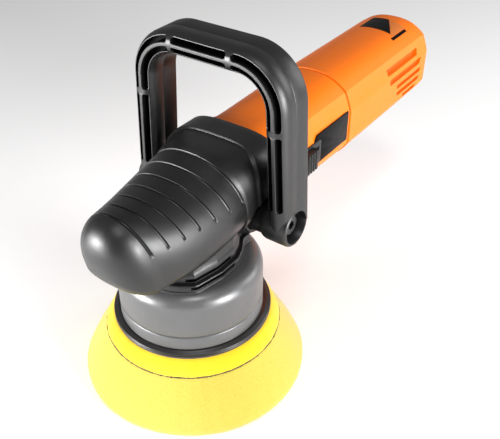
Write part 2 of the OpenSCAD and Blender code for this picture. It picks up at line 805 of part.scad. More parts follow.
// Outside of the rear sleeve, grown by an amount, with a rounded rear end
module sleeve_solid(y0, grow) {
    r = body_corner + 0.5 + grow;
    round = 13;
    intersection() {
        along_y(y0) linear_extrude(rear_y - y0 + 1)
            section(body_half + 0.5 + grow, body_half + 0.5 + grow, r);
        translate([0, 0, axis_z]) rotate([-90, 0, 0]) rotate_extrude()
            polygon(concat([[0, y0 - 1], [r, y0 - 1]],
                arc(r - round, rear_y + grow - round, round, 0, 90, 8), [[0, rear_y + grow]]));
    }
}

module rear_sleeve() {
    color([1, 0.47, 0.05]) difference() {
        sleeve_solid(seam_y, 0);
        intersection() {
            sleeve_solid(seam_y - 2, -2.8);
            translate([-60, seam_y - 2, 60]) cube([120, 200, 180]);
        }
        body_block(seam_y - 2, seam_y + 8.2, body_half - 0.9, body_half - 0.9, body_corner - 1.1);
        // side air slots
        both_sides() for (v = side_vents)
            translate([20, v[2], axis_z + v[0]]) cube([30, v[3] - v[2], v[1]]);
        // cord inlet and speed dial window
        along_y(rear_y - 20) cylinder(r = 5.4, h = 40);
        translate([-4, dial_y - 9, 90]) cube([8, 18, 30]);
        for (s = [-1, 1]) translate([s * post_x, post_y, 90]) cylinder(r = 2, h = 30, $fn = 24);
    }
}
module rear_sleeve_screws() {
    color([0.3, 0.3, 0.32]) for (s = [-1, 1])
        translate([s * post_x, post_y, axis_z - body_half - 0.3])
            socket_screw(2, 2, 1, 12, 1.2, $fn = 24);
}
module chassis() {
    floor_z = axis_z - 28;
    color([0.13, 0.13, 0.13]) difference() {
        union() {
            translate([-23, seam_y + 12, floor_z]) cube([46, 118, 3]);
            for (s = [-1, 1]) translate([s * 21.5 - 1.5, seam_y + 12, floor_z]) cube([3, 118, 20]);
            translate([-12, rear_y - 32, floor_z]) cube([24, 26, 3]);
            translate([-9, rear_y - 10, floor_z]) cube([18, 5, 20.5]);
            along_y(rear_y - 10) ring(9, 6, 0, 7);
            for (s = [-1, 1]) translate([s * post_x, post_y, axis_z - body_half + 2.3])
                cylinder(r = 3.5, h = 6);
        }
        translate([-6, dial_y - 13.5, floor_z - 1]) cube([16.5, 27, 20]);
        for (s = [-1, 1]) translate([s * post_x, post_y, 90]) cylinder(r = 2, h = 60, $fn = 24);
        along_y(rear_y - 20) cylinder(r = 6, h = 40);
    }
}

module side_label() {
    color([0.05, 0.05, 0.05]) translate([body_half, 114, axis_z - 12.5]) cube([0.6, 41, 25]);
}
module top_label() {
    color([0.05, 0.05, 0.05])
        translate([-16, 264, axis_z + body_half + 0.5]) cube([32, 25, 0.4]);
}

// ---------- switch, speed dial and electronics ----------

module switch_guide() {
    color([0.1, 0.1, 0.1]) difference() {
        translate([body_half, switch_y - 15, switch_z - 10]) cube([1.2, 31, 20]);
        translate([body_half - 1, switch_y - 7, switch_z - 5]) cube([5, 14 + switch_travel, 10]);
    }
}
module slide_switch() {
    color([0.08, 0.08, 0.08]) union() {
        difference() {
            translate([body_half + 1.4, switch_y - 11, switch_z - 8]) cube([5, 16, 16]);
            for (i = [0:3]) translate([body_half + 5.6, switch_y - 9 + 3.6 * i, switch_z - 9])
                cube([2, 1.6, 18]);
        }
        translate([33.5, switch_y - 6.7, switch_z - 4.7]) cube([body_half - 30, 11.4, 9.4]);
    }
}
module switch_rod() {
    color([0.75, 0.75, 0.77]) union() {
        translate([31.6, switch_y - 5, switch_z - 1.2]) cube([1.9, 3, 2.4]);
        translate([31.6, switch_y - 5, switch_z - 1.2]) cube([1.2, 88.4, 2.4]);
    }
}
module switch_module() {
    color([0.2, 0.2, 0.22]) difference() {
        translate([6, 184, axis_z - 25]) cube([13, 28, 24]);
        translate([9, 183, axis_z - 14]) cube([7, 5, 4]);
    }
}
module speed_board() {
    color([0.1, 0.35, 0.2]) {
        translate([-19, 216, axis_z - 25]) cube([38, 32, 1.6]);
        translate([4.5, 246, axis_z - 25]) cube([5, 8, 1.6]);
        translate([-16, 220, axis_z - 23.4]) cube([12, 10, 16]);
        translate([4, 220, axis_z - 23.4]) cube([10, 18, 9]);
        translate([-16, 234, axis_z - 23.4]) cube([8, 8, 6]);
        // turning resistor beside the dial, with its shaft
        translate([4, dial_y - 8, dial_z - 8]) cube([6, 16, 16]);
        along_x(-3, dial_y, dial_z) cylinder(r = 1.9, h = 7.5, $fn = 32);
    }
}
module suppressor_capacitor() {
    color([0.85, 0.75, 0.2]) translate([-18, 180, axis_z - 25]) cube([12, 26, 20]);
}
module speed_dial() {
    color([0.08, 0.08, 0.08]) translate([0, dial_y, dial_z]) rotate([0, 90, 0]) difference() {
        translate([0, 0, -3]) cylinder(r = 12.6, h = 6);
        for (a = [0:15:345]) rotate([0, 0, a]) translate([12.8, 0, -4]) cylinder(r = 0.8, h = 8, $fn = 16);
        translate([0, 0, -4]) cylinder(r = 2, h = 8);
    }
}

nose_cover();
neck_cover();
gear_housing();
handle_sockets();
retainer_plate();
retainer_screws();
shroud();
shroud_ring();
shroud_screws();
spindle_bearing_outer();
upper_bush();
head_screws();
handle_bolts();
handle_washers();
motor_housing();
rear_sleeve();
rear_sleeve_screws();
chassis();
side_label();
top_label();
switch_guide();
stator_core();
field_windings();
fan_baffle();
brush_holders();
carbon_brushes();
brush_springs();
armature_bearing_outer();
bearing_damper();
switch_module();
speed_board();
suppressor_capacitor();
spindle();
crown_gear();
crown_circlip();
spindle_bearing_inner();
counterweight();
plate_bearing_outer();
bearing_circlip();
plate_spindle();
plate_bearing_inner();
plate_circlip();
plate_hub();
plate_screw();
backing_plate();
pad_loop_layer();
pad_upper();
pad_glue();
pad_foam();
armature_shaft();
armature_core();
armature_windings();
commutator();
fan();
pinion();
armature_bearing_inner();
d_handle();
slide_switch();
switch_rod();
speed_dial();
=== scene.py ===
import json
import math

import bmesh
import bpy
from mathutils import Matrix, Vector, noise


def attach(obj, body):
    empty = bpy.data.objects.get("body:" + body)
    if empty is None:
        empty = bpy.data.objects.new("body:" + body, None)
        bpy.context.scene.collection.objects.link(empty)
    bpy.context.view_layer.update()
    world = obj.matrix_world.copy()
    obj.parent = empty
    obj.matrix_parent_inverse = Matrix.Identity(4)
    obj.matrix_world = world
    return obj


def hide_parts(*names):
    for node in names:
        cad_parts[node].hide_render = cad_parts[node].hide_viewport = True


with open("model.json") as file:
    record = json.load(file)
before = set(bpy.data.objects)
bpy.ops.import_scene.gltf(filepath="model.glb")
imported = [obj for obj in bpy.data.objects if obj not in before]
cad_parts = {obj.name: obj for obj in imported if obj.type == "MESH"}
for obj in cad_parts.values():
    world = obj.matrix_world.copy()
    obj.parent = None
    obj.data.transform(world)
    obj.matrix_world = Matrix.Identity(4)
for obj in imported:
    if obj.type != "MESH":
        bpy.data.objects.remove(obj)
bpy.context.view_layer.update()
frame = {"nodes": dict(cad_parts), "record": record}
scene = bpy.context.scene
scene.view_settings.view_transform = "Standard"

MM = 0.001                          # every size below is in millimetres
AXIS_Z = 145.0                      # height of the motor's axis
BOLT_Y, BOLT_Z = 35.6, 130.0        # the handle's bolts
THROW, THROW_ANGLE = 4, 125         # how far the pad sits off the spindle, and in which direction


def rad(a):
    return math.radians(a)


ON_PLATE = (THROW * math.cos(rad(THROW_ANGLE)), THROW * math.sin(rad(THROW_ANGLE)), 0)


# ---------------------------------------------------------------- camera

cam = bpy.data.objects.new("camera", bpy.data.cameras.new("camera"))
scene.collection.objects.link(cam)
cam.data.sensor_width = 36
cam.data.lens = 51.81
cam.data.clip_end = 20
cam.location = (0.259891, -0.296628, 0.415849)
turn_right, look_down = rad(35.082), rad(36.002)
forward = Vector((-math.sin(turn_right) * math.cos(look_down),
                  math.cos(turn_right) * math.cos(look_down), -math.sin(look_down)))
cam.rotation_euler = forward.to_track_quat("-Z", "Y").to_euler()
scene.camera = cam

# ---------------------------------------------------------------- mesh helpers


def build(name, verts, faces, sharp=35.0):
    """A mesh object from points in millimetres, shaded smooth up to an angle."""
    mesh = bpy.data.meshes.new(name)
    mesh.from_pydata([(x * MM, y * MM, z * MM) for x, y, z in verts], [], faces)
    obj = bpy.data.objects.new(name, mesh)
    scene.collection.objects.link(obj)
    tidy(obj, sharp)
    return obj


def tidy(obj, sharp=35.0):
    """Merge doubles, drop empty faces, face outwards and set the smooth angle."""
    bm = bmesh.new()
    bm.from_mesh(obj.data)
    bmesh.ops.remove_doubles(bm, verts=bm.verts, dist=2e-6)
    bmesh.ops.dissolve_degenerate(bm, edges=bm.edges, dist=1e-6)
    bmesh.ops.recalc_face_normals(bm, faces=bm.faces)
    bm.to_mesh(obj.data)
    bm.free()
    obj.data.shade_smooth()
    obj.data.set_sharp_from_angle(angle=rad(sharp))


def apply_all(obj, sharp=35.0):
    """Bake the modifiers into the mesh and set the smooth angle again."""
    deps = bpy.context.evaluated_depsgraph_get()
    new = bpy.data.meshes.new_from_object(obj.evaluated_get(deps))
    obj.modifiers.clear()
    obj.data = new
    obj.data.shade_smooth()
    obj.data.set_sharp_from_angle(angle=rad(sharp))


def bevel(obj, width, angle=40.0):
    """Round the edges that turn by more than an angle."""
    mod = obj.modifiers.new("bevel", "BEVEL")
    mod.width = width * MM
    mod.segments = 2
    mod.limit_method = "ANGLE"
    mod.angle_limit = rad(angle)
    mod.use_clamp_overlap = True
    apply_all(obj)


def cut(obj, others, sharp=35.0):
    """Take each of the others, which are used up, out of an object."""
    for other in others:
        mod = obj.modifiers.new("cut", "BOOLEAN")
        mod.operation = "DIFFERENCE"
        mod.solver = "EXACT"
        mod.object = other
    apply_all(obj, sharp)
    for other in others:
        bpy.data.objects.remove(other)
    tidy(obj, sharp)


def join(name, objs, sharp=35.0):
    """One object from several, with the materials of the first."""
    bm = bmesh.new()
    for o in objs:
        bm.from_mesh(o.data)
    mesh = bpy.data.meshes.new(name)
    bm.to_mesh(mesh)
    bm.free()
    for m in objs[0].data.materials:
        mesh.materials.append(m)
    obj = bpy.data.objects.new(name, mesh)
    scene.collection.objects.link(obj)
    for o in objs:
        bpy.data.objects.remove(o)
    mesh.shade_smooth()
    mesh.set_sharp_from_angle(angle=rad(sharp))
    return obj


def loft(rings, looped=False):
    """Vertices and faces of a skin through rings, capped at both ends unless it's looped."""
    n = len(rings[0])
    verts = [p for r in rings for p in r]
    faces = []
    last = len(rings) - 1
    for k in range(last + (1 if looped else 0)):
        a, b = k * n, ((k + 1) % len(rings)) * n
        for i in range(n):
            j = (i + 1) % n
            faces.append((a + i, b + i, b + j, a + j))
    if not looped:
        faces.append(tuple(range(n)))
        faces.append(tuple(last * n + i for i in reversed(range(n))))
    return verts, faces


def lathe(name, profile, at=(0, 0, 0), axis="z", n=160, sharp=35.0, ripple=None):
    """Turn a closed profile of (radius, height) about an axis through a point."""
    rings = []
    for i in range(n):
        a = 2 * math.pi * i / n
        ring = []
        for r, h in profile:
            if ripple:
                r, h = ripple(r, h, a)
            u, v = r * math.cos(a), r * math.sin(a)
            if axis == "z":
                ring.append((at[0] + u, at[1] + v, at[2] + h))
            else:
                ring.append((at[0] + h, at[1] + u, at[2] + v))
        rings.append(ring)
    return build(name, *loft(rings, looped=True), sharp)


def arc(cx, cy, r, a0, a1, n):
    """Points of an arc from one angle to another, in n steps."""
    return [(cx + r * math.cos(rad(a0 + (a1 - a0) * i / n)),
             cy + r * math.sin(rad(a0 + (a1 - a0) * i / n))) for i in range(n + 1)]


def prism(name, outline, lo, hi, axis="x"):
    """An outline pushed along an axis: (y, z) for x, (x, y) for z."""
    n = len(outline)
    verts = [(t, *p) if axis == "x" else (*p, t) for t in (lo, hi) for p in outline]
    faces = [tuple(range(n)), tuple(n + i for i in reversed(range(n)))]
    faces += [(i, n + i, n + (i + 1) % n, (i + 1) % n) for i in range(n)]
    return build(name, verts, faces)


def rounded(points, r, n=5):
    """A polygon with its corners rounded, as far as its sides are long enough."""
    out = []
    m = len(points)
    for i in range(m):
        p, before, after = Vector(points[i]), Vector(points[i - 1]), Vector(points[(i + 1) % m])
        u, v = (before - p).normalized(), (after - p).normalized()
        half = u.angle(v) / 2
        back = min(r / math.tan(half), (before - p).length * 0.48, (after - p).length * 0.48)
        fits = back * math.tan(half)
        centre = p + (u + v).normalized() * (fits / math.sin(half))
        start, end = p + u * back - centre, p + v * back - centre
        for k in range(n + 1):
            w = start.lerp(end, k / n).normalized() * fits
            out.append((centre.x + w.x, centre.y + w.y))
    return out


def box(lo, hi):
    """A block between two corners, to cut with or to build on."""
    return prism("box", [(lo[1], lo[2]), (hi[1], lo[2]), (hi[1], hi[2]), (lo[1], hi[2])], lo[0], hi[0])


def bolt_rod(r, x0, x1, n=96):
    """A cylinder on the handle bolts' axis, to cut with."""
    turns = [2 * math.pi * i / n for i in range(n)]
    return prism("rod", [(BOLT_Y + r * math.cos(a), BOLT_Z + r * math.sin(a)) for a in turns], x0, x1)


def mirrored_rods(r, near, far):
    """The same cylinder at the right and at the left."""
    return [bolt_rod(r, near, far), bolt_rod(r, -far, -near)]


def corners(obj, face):
    """The corners of a face, in millimetres."""
    return [obj.data.vertices[v].co / MM for v in face.vertices]


def paint_recess_shade(obj, plain, deep, chosen):
    """Give an object a plain material, and a darker one on the chosen faces: painted shade in its recesses.
    """
    obj.data.materials.append(plain)
    obj.data.materials.append(deep)
    for face in obj.data.polygons:
        if chosen(face):
            face.material_index = 1


# ---------------------------------------------------------------- materials


class Nodes:
    """One material and short ways to fill its node tree."""

    def __init__(self, name):
        self.mat = bpy.data.materials.new(name)
        self.mat.use_nodes = True
        self.tree = self.mat.node_tree
        self.bsdf = self.tree.nodes["Principled BSDF"]
        self.coord = self.add("ShaderNodeTexCoord").outputs["Object"]

    def add(self, kind, **values):
        node = self.tree.nodes.new(kind)
        for key, value in values.items():
            if key in node.inputs:
                node.inputs[key].default_value = value
            else:
                setattr(node, key, value)
        return node

    def link(self, a, b):
        self.tree.links.new(a, b)

    def noise(self, scale, detail=4.0, rough=0.5):
        t = self.add("ShaderNodeTexNoise", Scale=scale, Detail=detail, Roughness=rough)
        self.link(self.coord, t.inputs["Vector"])
        return t.outputs["Fac"]

    def ramp(self, fac, stops):
        """Colours along a factor, from (position, colour) pairs in order."""
        r = self.add("ShaderNodeValToRGB")
        r.color_ramp.elements[0].position = stops[0][0]
        r.color_ramp.elements[0].color = (*stops[0][1], 1)
        r.color_ramp.elements[1].position = stops[-1][0]
        r.color_ramp.elements[1].color = (*stops[-1][1], 1)
        for pos, col in stops[1:-1]:
            e = r.color_ramp.elements.new(pos)
            e.color = (*col, 1)
        self.link(fac, r.inputs["Fac"])
        return r.outputs["Color"]

    def spread(self, fac, lo, hi):
        """Stretch the middle of a noise over a range of values."""
        m = self.add("ShaderNodeMapRange")
        m.inputs["From Min"].default_value = 0.3
        m.inputs["From Max"].default_value = 0.7
        m.inputs["To Min"].default_value = lo
        m.inputs["To Max"].default_value = hi
        self.link(fac, m.inputs["Value"])
        return m.outputs["Result"]

    def bump(self, height, strength, distance, under=None):
        """Relief from a height, laid over the relief under it where there is one."""
        b = self.add("ShaderNodeBump", Strength=strength, Distance=distance)
        self.link(height, b.inputs["Height"])
        if under is not None:
            self.link(under, b.inputs["Normal"])
        return b.outputs["Normal"]


def shade(colour, amount):
    return tuple(max(0.0, c * amount) for c in colour)


def moulded(name, colour, rough=0.4, grain=0.12, scale=1500.0, vary=0.08, spec=0.5):
    """Moulded plastic: a fine spark-eroded grain and slightly uneven gloss."""
    m = Nodes(name)
    m.link(m.ramp(m.noise(55.0, 3.0), [(0.3, shade(colour, 1 - vary)), (0.7, shade(colour, 1 + vary))]),
           m.bsdf.inputs["Base Color"])
    m.link(m.spread(m.noise(140.0, 5.0), rough - 0.04, rough + 0.05), m.bsdf.inputs["Roughness"])
    wide = m.bump(m.noise(60.0, 2.0), 0.06, 0.0006)
    m.link(m.bump(m.noise(scale, 3.0, 0.6), grain, 0.00012, wide), m.bsdf.inputs["Normal"])
    m.bsdf.inputs["Specular IOR Level"].default_value = spec
    return m.mat


def metal(name, colour, rough=0.3, cast=False):
    """Turned or ground metal, or the rougher skin of a casting."""
    m = Nodes(name)
    m.bsdf.inputs["Metallic"].default_value = 1.0
    m.link(m.ramp(m.noise(90.0, 4.0), [(0.3, shade(colour, 0.88)), (0.7, shade(colour, 1.08))]),
           m.bsdf.inputs["Base Color"])
    m.link(m.spread(m.noise(220.0, 5.0), rough - 0.06, rough + 0.08), m.bsdf.inputs["Roughness"])
    if cast:
        m.link(m.bump(m.noise(900.0, 5.0), 0.35, 0.0003), m.bsdf.inputs["Normal"])
    else:
        w = m.add("ShaderNodeTexWave", Scale=900.0, Distortion=1.5, wave_type="RINGS",
                  rings_direction="Z")
        m.link(m.coord, w.inputs["Vector"])
        m.link(m.bump(w.outputs["Fac"], 0.05, 0.0001), m.bsdf.inputs["Normal"])
    return m.mat


def foam(name, pale, deep, pore=1500.0, strength=0.5):
    """Open-cell foam: a fine speckle of cell mouths over a soft matte skin."""
    m = Nodes(name)
    cells = m.add("ShaderNodeTexVoronoi", Scale=pore)
    m.link(m.coord, cells.inputs["Vector"])
    speck = m.noise(pore * 0.6, 4.0, 0.7)
    mix = m.add("ShaderNodeMix", data_type="FLOAT")
    mix.inputs["Factor"].default_value = 0.5
    m.link(cells.outputs["Distance"], mix.inputs["A"])
    m.link(speck, mix.inputs["B"])
    m.link(m.ramp(mix.outputs["Result"], [(0.22, deep), (0.42, pale), (0.8, shade(pale, 1.04))]),
           m.bsdf.inputs["Base Color"])
    m.bsdf.inputs["Roughness"].default_value = 0.95
    m.bsdf.inputs["Sheen Weight"].default_value = 0.25
    m.bsdf.inputs["Sheen Roughness"].default_value = 0.6
    m.bsdf.inputs["Specular IOR Level"].default_value = 0.2
    soft = m.bump(m.noise(120.0, 3.0), 0.2, 0.0008)
    m.link(m.bump(mix.outputs["Result"], strength, 0.0004, soft), m.bsdf.inputs["Normal"])
    return m.mat


BLACK = moulded("black_plastic", (0.005, 0.005, 0.0052), 0.39, 0.35, 1500.0, spec=0.6)
BLACK_FINE = moulded("black_fine", (0.005, 0.005, 0.0052), 0.42, 0.1, 2200.0, spec=0.4)
# painted shade: a darker, duller black for the walls and floors of slots, where shade falls
SLOT_SHADE = moulded("black_slot_shade", (0.0012, 0.0012, 0.0012), 0.7, 0.1, 2000.0, spec=0.1)
ORANGE = moulded("orange_plastic", (0.86, 0.165, 0.0), 0.42, 0.05, 1600.0, vary=0.02, spec=0.35)
# painted shade: a darker orange for the floors of the side vents, where shade falls in the recess
VENT_SHADE = moulded("orange_vent_shade", (0.75, 0.085, 0.0), 0.5, 0.05, 1600.0, vary=0.03, spec=0.3)
GREY = moulded("grey_shroud", (0.13, 0.13, 0.132), 0.34, 0.14, 1500.0, vary=0.05)
GREY.node_tree.nodes["Principled BSDF"].inputs["Metallic"].default_value = 0.55
PLATE = moulded("plate_plastic", (0.012, 0.011, 0.011), 0.33, 0.06, 1500.0)
LABEL = moulded("label_gloss", (0.002, 0.002, 0.0022), 0.32, 0.03, 2500.0, spec=0.06)
STEEL = metal("ground_steel", (0.55, 0.55, 0.56), 0.26)
DARK_STEEL = metal("black_oxide", (0.09, 0.09, 0.095), 0.36)
CAST = metal("cast_alloy", (0.5, 0.5, 0.51), 0.45, cast=True)
BRONZE = metal("bronze", (0.5, 0.33, 0.12), 0.35)
COPPER = metal("copper_wire", (0.65, 0.24, 0.09), 0.33)
IRON = metal("lamination", (0.2, 0.2, 0.21), 0.42)
CARBON = moulded("carbon", (0.02, 0.02, 0.021), 0.6, 0.3, 900.0)
RUBBER = moulded("rubber", (0.015, 0.015, 0.015), 0.7, 0.2, 1200.0)
BOARD = moulded("circuit_board", (0.01, 0.09, 0.035), 0.4, 0.1, 900.0)
FILM = moulded("film_capacitor", (0.55, 0.4, 0.03), 0.3, 0.04, 1500.0)
FELT = foam("loop_fabric", (0.03, 0.03, 0.03), (0.006, 0.006, 0.006), 1800.0, 0.8)
UPPER = foam("upper_foam", (0.68, 0.42, 0.002), (0.60, 0.34, 0.001), 1500.0, 0.22)
FOAM = foam("polishing_foam", (0.44, 0.36, 0.048), (0.30, 0.235, 0.019), 1150.0, 0.6)
GLUE = moulded("glue_line", (0.05, 0.04, 0.015), 0.7, 0.5, 900.0, vary=0.4)
BY_SLOT = {
    "black_plastic": BLACK, "orange_plastic": ORANGE, "label": LABEL, "cast_metal": CAST,
    "grey_plastic": GREY, "fixings": DARK_STEEL, "steel": STEEL, "bronze": BRONZE,
    "lamination": IRON, "copper": COPPER, "carbon": CARBON, "damper_rubber": RUBBER,
    "board": BOARD, "capacitor": FILM, "plate_plastic": PLATE, "hub_metal": CAST,
    "loop_fabric": FELT, "upper_foam": UPPER, "glue": GLUE, "polishing_foam": FOAM,
}
for part in frame["record"]["subparts"]:
    node = frame["nodes"][part["node"]]
    node.data.materials.clear()
    node.data.materials.append(BY_SLOT[part["material_slot"]])


def piece(obj, material, body, nodes):
    """Hang a piece on its body and let it stand for its CAD nodes; a piece with painted shade in its recesses
    comes dressed.
    """
    if material:
        obj.data.materials.append(material)
    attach(obj, body)
    if nodes:
        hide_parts(*nodes)
    return obj


# ---------------------------------------------------------------- head cover

HEAD_POINTS = 224                   # points round the head
NOSE_HALF, COLLAR_HALF = 38.7, 42.0
GROOVE_Y = 13.5                     # the rearmost groove on the axis
GROOVES = 7
PITCH, PITCH_LOSS = 13.2, 0.2       # step between grooves, and how it shrinks towards the front
LEAN = 13.0                         # how far the nose dips, in degrees
NOSE_END = 21.0                     # length of the round end ahead of the foremost groove
BAND_RISE = 1.35                    # how far the collar's band stands out
WALL = 2.8
SOCKET_R = 15.4                     # radius of the pockets for the handle's sockets


def head_point(k, w, up, down, n_up, n_down, y, z, lean, sink=None):
    """Point k of a superellipse, half of it up and half down, on a plane that leans back."""
    a = 2 * math.pi * k / HEAD_POINTS
    c, s = math.cos(a), math.sin(a)
    n = n_up if s > 0 else n_down
    d = sink(math.degrees(a)) if sink else 0.0
    x = (w - d) * math.copysign(abs(c) ** (2 / n), c)
    v = ((up if s > 0 else down) - d) * math.copysign(abs(s) ** (2 / n), s)
    return (x, y - v * math.sin(rad(lean)), z + v * math.cos(rad(lean)))


def nose_ring(i, grow=0.0, sink=None):
    """Ring of the nose at groove i, counted from the rear; i may lie between grooves."""
    ahead = PITCH * i - PITCH_LOSS * i * i
    return [head_point(k, NOSE_HALF + 0.96 * i - 0.44 * i * i + grow, 35.5 - 1.25 * i + 0.5 * i * i + grow,
                       38 - 4.3 * i + grow, 2.2, 1.8 + 0.1 * i, GROOVE_Y - ahead * math.cos(rad(LEAN)),
                       AXIS_Z - ahead * math.sin(rad(LEAN)), LEAN, sink) for k in range(HEAD_POINTS)]


def nose_end_ring(t, grow=0.0):
    """Ring of the round end, from 0 degrees at its rear to 90 at the tip."""
    edge = nose_ring(GROOVES - 1, grow)
    top, bottom = edge[HEAD_POINTS // 4], edge[3 * HEAD_POINTS // 4]
    mid = (Vector(top) + Vector(bottom)) / 2
    size = max(0.0, math.cos(rad(t))) ** 0.8
    shift = Vector((0, -(NOSE_END + grow) * math.sin(rad(t)), -3 * math.sin(rad(t))))
    return [tuple(mid + (Vector(p) - mid) * size + shift) for p in edge]


def collar_ring(s, grow=0.0, from_band=False):
    """Ring behind the grooves; from_band measures s from the band's own front edge."""
    out = []
    for k in range(HEAD_POINTS):
        rise = max(0.0, math.sin(2 * math.pi * k / HEAD_POINTS)) ** 2
        edge, slope = 15.0 + 6.5 * rise, 3.6 - 2.8 * rise
        t = edge + s if from_band else s
        up_slope = min(1.0, max(0.0, 1 + (t - edge) / slope))
        band = BAND_RISE * up_slope * up_slope * (3 - 2 * up_slope)
        q = min(1.0, t / 20)
        out.append(head_point(k, NOSE_HALF + (COLLAR_HALF - NOSE_HALF - BAND_RISE) * q + band + grow,
                              34.15 + BAND_RISE * (1 - q) + band + grow, 38 - 2.35 * q + band + grow,
                              2.2 + 1.3 * q, 1.8 + 2 * min(1.0, t / 30), GROOVE_Y + t, AXIS_Z,
                              LEAN * (1 - q)))
    return out


# across a groove: distance from its middle and depth
GROOVE = [(-1.5, 0.0), (-1.15, 0.0), (-0.95, 0.2), (-0.75, 1.0), (-0.3, 1.25), (0.3, 1.25),
          (0.75, 1.0), (0.95, 0.2), (1.15, 0.0), (1.5, 0.0)]
# where each groove ends on the flank, in degrees above the side, from the rear
GROOVE_ENDS = (10.2, 17.2, 22.2, 26.0, 27.8, 28.8, 28.5)


def groove_depth(depth, end):
    """Full depth over the top of the nose, with rounded ends on the flanks."""
    def sink(a):
        t = min(a - end, 180.0 - end - a)
        return depth * min(1.0, t / 2.4) ** 0.5 if t > 0 else 0.0
    return sink


def nose_cover():
    rings = [nose_end_ring(t) for t in (87, 80, 73, 66, 59, 52, 45, 38, 31, 24, 17, 10, 4)]
    for g in range(GROOVES - 1, -1, -1):
        for ds, d in GROOVE:
            i = g - ds / (PITCH - 2 * PITCH_LOSS * g)
            # ahead of the foremost groove the skin is already turning in
            if i <= GROOVES - 1:
                rings.append(nose_ring(i, 0.0, groove_depth(d, GROOVE_ENDS[g]) if d else None))
        if g:
            rings += [nose_ring(g - 0.3), nose_ring(g - 0.5), nose_ring(g - 0.7)]
    rings += [collar_ring(s) for s in (2, 4, 6, 8, 10)]
    rings += [collar_ring(s, from_band=True)
              for s in (-3.7, -3.2, -2.6, -2, -1.5, -1.0, -0.75, -0.5, -0.25, 0, 0.4, 1.5)]
    rings += [collar_ring(s) for s in (25, 30, 35, 39.6)]
    rings += [collar_ring(40.2, -0.3), collar_ring(40.5, -0.8)]
    rings += [collar_ring(s, -WALL) for s in (40.5, 30, 22)]
    rings += [nose_ring(i, -WALL) for i in range(GROOVES)]
    rings += [nose_end_ring(t, -WALL) for t in (30, 60, 80)]
    cover = build("head_cover", *loft(rings), sharp=32)
    cut(cover, mirrored_rods(SOCKET_R, 24, 60), sharp=32)
    return cover


piece(nose_cover(), BLACK, "machine", ["nose_cover"])

# ---------------------------------------------------------------- neck

NECK_R = 45.2
SLOT_REAR, SLOT_FRONT, PAST_NECK = 2.6, -34, 60
# each side's slots: bottom, top and the (x, y) line of their inner wall
NECK_SLOTS = [(106.7, 109.0, [(36.1, SLOT_REAR), (36.1, -6), (34.6, -12), (31, -22), (29, SLOT_FRONT)]),
              (111.0, 113.2, [(31.1, SLOT_REAR), (31.1, -6), (29, -14), (26, -24), (24, SLOT_FRONT)])]
# height of each step of the terrace, and how far it is set out
TIERS = [(103, -0.4), (103.3, 0), (104.9, 0), (105.3, -0.2), (105.5, -0.6), (109.3, -0.6), (109.8, -1.0),
         (110.0, -3.9), (115.6, -4.1), (116.6, -4.6), (117.4, -5.1), (124, -5.3)]


def neck_plan(g):
    """Round in front, with sides that spread a little towards the rear and a waist behind."""
    r = NECK_R + g
    side = [(28 + g, 36), (28 + g, 27), (34.2 + g, 17), (37.5 + g, 8), (37.4 + g, -10), (33.0 + g, -29.8)]
    start = math.degrees(math.atan2(-32.2, 31.6))
    front = arc(0, 0, r, start, -180 - start, 24)
    return rounded(side + front + [(-x, y) for x, y in reversed(side)], 2.5, 4)


def neck_cover():
    """The terraced foot of the head, with two long slots in each side."""
    block = build("neck", *loft([[(x, y, z) for x, y in neck_plan(g)] for z, g in TIERS]), sharp=40)
    cuts = mirrored_rods(15.6, 30, 60)
    for side in (-1, 1):
        for lo, hi, inner in NECK_SLOTS:
            outline = inner + [(PAST_NECK, SLOT_FRONT), (PAST_NECK, SLOT_REAR)]
            cuts.append(prism("slot", [(side * x, y) for x, y in outline], lo, hi, "z"))
    cut(block, cuts, sharp=40)

    def in_slot(face):
        pts = corners(block, face)
        return any(all(lo - 0.01 < p.z < hi + 0.01 and SLOT_FRONT - 0.01 < p.y < SLOT_REAR + 0.01
                       and abs(p.x) > 20 for p in pts) for lo, hi, _ in NECK_SLOTS)

    # the slots' faces take the darker black, which paints shade into them
    paint_recess_shade(block, BLACK, SLOT_SHADE, in_slot)
    return block


piece(neck_cover(), None, "machine", ["neck_cover"])

# ---------------------------------------------------------------- handle sockets

SOCKET = [(12.6, 28), (12.6, 32.6), (13.0, 33.0), (14.5, 33.0), (15.1, 32.4), (15.3, 31.5), (15.3, 26),
          (8, 26), (8, 28)]
for s, side in ((1, "right"), (-1, "left")):
    ring = lathe("socket_" + side, [(r, s * x) for r, x in SOCKET], (0, BOLT_Y, BOLT_Z), "x", 96)
    piece(ring, BLACK_FINE, "machine", ["handle_sockets"])

# ---------------------------------------------------------------- handle

HALF, TOP = 64.7, 249.5             # half width at the bolts, and height
THICK = 16.5                        # from the outside of the bow to its inside
R_OUT = 36.0                        # radius of the two top corners
LEG_LEAN = rad(2.75)                # the legs spread a little towards the bolts
CORNER_Z = TOP - R_OUT
CORNER_X = HALF - (R_OUT + (CORNER_Z - BOLT_Z) * math.sin(LEG_LEAN)) / math.cos(LEG_LEAN)
LEG = (CORNER_Z - BOLT_Z) / math.cos(LEG_LEAN) + R_OUT * math.tan(LEG_LEAN)
BEND = R_OUT * (rad(90) - LEG_LEAN)
TOTAL = 2 * (LEG + BEND + CORNER_X)  # length of the outer outline, from bolt to bolt


